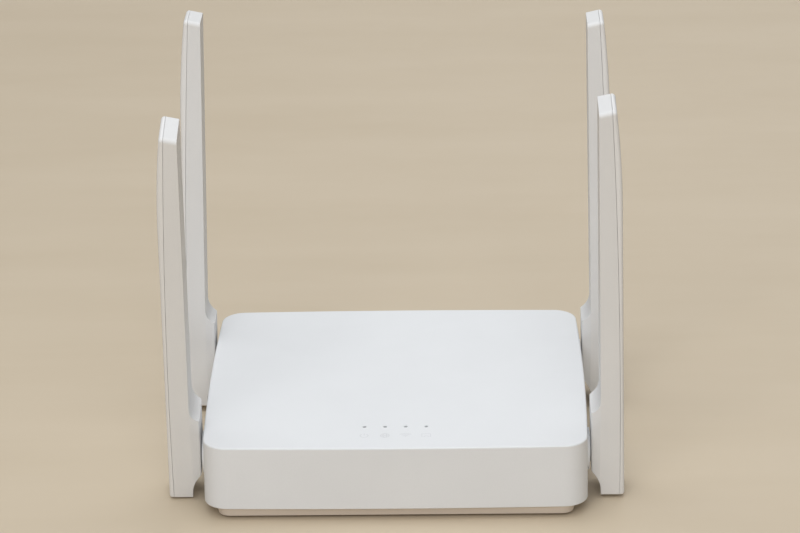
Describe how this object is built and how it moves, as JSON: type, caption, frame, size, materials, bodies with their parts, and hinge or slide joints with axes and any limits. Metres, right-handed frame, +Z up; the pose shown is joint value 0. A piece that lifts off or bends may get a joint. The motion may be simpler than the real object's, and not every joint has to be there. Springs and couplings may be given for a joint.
{
  "type": "wireless access box",
  "caption": "Low white desk box with rounded corners and an inset base, carrying hinged paddle antennas at its sides and network sockets at the rear.",
  "frame": {"origin": "on the surface the feet stand on, under the centre of the base", "axes": "+X to the right seen from the front, -Y to the front where the indicator lights are, +Y to the rear sockets, +Z up"},
  "size_m": [0.1446, 0.1231, 0.1364],
  "materials": {
    "shell_white": "fine satin white ABS",
    "antenna_white": "fine satin white ABS",
    "rubber_grey": "matt grey rubber",
    "label_paper": "blank matt label",
    "steel": "zinc plated steel",
    "board_green": "green solder mask on glass epoxy",
    "chip_black": "moulded black epoxy",
    "tin": "tinned steel",
    "aluminium": "extruded aluminium",
    "silicone": "soft silicone pad",
    "light_clear": "clear acrylic",
    "port_yellow": "yellow nylon",
    "port_blue": "blue nylon",
    "contact_gold": "gold plated phosphor bronze",
    "black_plastic": "black nylon",
    "strip_green": "radiator circuit strip",
    "lead_jacket": "thin coaxial lead",
    "ceramic_part": "ceramic chip parts",
    "can_sleeve": "sleeved aluminium can"
  },
  "bodies": {
    "box": {"base_plate": "shell_white", "blank_label": "label_paper", "board_screws": "steel", "box_coax_leads": "lead_jacket", "button_switch": "black_plastic", "case_screws": "steel", "chip_capacitors": "ceramic_part", "chip_resistors": "chip_black", "clock_crystal": "tin", "coax_solder_pads": "tin", "filter_capacitors": "can_sleeve", "flash_chip": "chip_black", "heat_sink": "aluminium", "hinge_washers": "steel", "indicator_lights": "light_clear", "jack_contacts": "contact_gold", "lan_jack_a": "port_yellow", "lan_jack_b": "port_yellow", "lan_jack_c": "port_yellow", "light_guides": "light_clear", "main_board": "board_green", "memory_chip": "chip_black", "port_transformer_a": "chip_black", "port_transformer_b": "chip_black", "power_chip": "chip_black", "power_coil": "chip_black", "power_inlet": "black_plastic", "power_pin": "steel", "power_spring": "steel", "radio_shield": "tin", "router_chip": "chip_black", "rubber_feet": "rubber_grey", "thermal_pad": "silicone", "top_cover": "shell_white", "wan_jack": "port_blue"},
    "antenna_front_right": {"antenna_coax_front_right": "lead_jacket", "antenna_cover_front_right": "antenna_white", "antenna_shell_front_right": "antenna_white", "pivot_clip_front_right": "steel", "radiator_strip_front_right": "strip_green"},
    "antenna_front_left": {"antenna_coax_front_left": "lead_jacket", "antenna_cover_front_left": "antenna_white", "antenna_shell_front_left": "antenna_white", "pivot_clip_front_left": "steel", "radiator_strip_front_left": "strip_green"},
    "antenna_rear_right": {"antenna_coax_rear_right": "lead_jacket", "antenna_cover_rear_right": "antenna_white", "antenna_shell_rear_right": "antenna_white", "pivot_clip_rear_right": "steel", "radiator_strip_rear_right": "strip_green"},
    "antenna_rear_left": {"antenna_coax_rear_left": "lead_jacket", "antenna_cover_rear_left": "antenna_white", "antenna_shell_rear_left": "antenna_white", "pivot_clip_rear_left": "steel", "radiator_strip_rear_left": "strip_green"},
    "button": {"reset_button": "shell_white"}
  },
  "joints": [
    {"name": "front_right_antenna_hinge", "type": "hinge", "parent": "box", "child": "antenna_front_right", "pos_m": [0.0588, -0.035, 0.0149], "axis": [1, 0, 0], "range_deg": [-16.2, 83.8]},
    {"name": "front_left_antenna_hinge", "type": "hinge", "parent": "box", "child": "antenna_front_left", "pos_m": [-0.0588, -0.035, 0.0149], "axis": [1, 0, 0], "range_deg": [-22.2, 77.8]},
    {"name": "rear_right_antenna_hinge", "type": "hinge", "parent": "box", "child": "antenna_rear_right", "pos_m": [0.0588, 0.035, 0.0149], "axis": [1, 0, 0], "range_deg": [-90, 10]},
    {"name": "rear_left_antenna_hinge", "type": "hinge", "parent": "box", "child": "antenna_rear_left", "pos_m": [-0.0588, 0.035, 0.0149], "axis": [1, 0, 0], "range_deg": [-87.6, 12.4]},
    {"name": "reset_button_press", "type": "slide", "parent": "box", "child": "button", "axis": [0, -1, 0], "range_m": [0, 0.0005], "stiffness_N_per_m": 900, "springref_m": -0.0002}
  ]
}
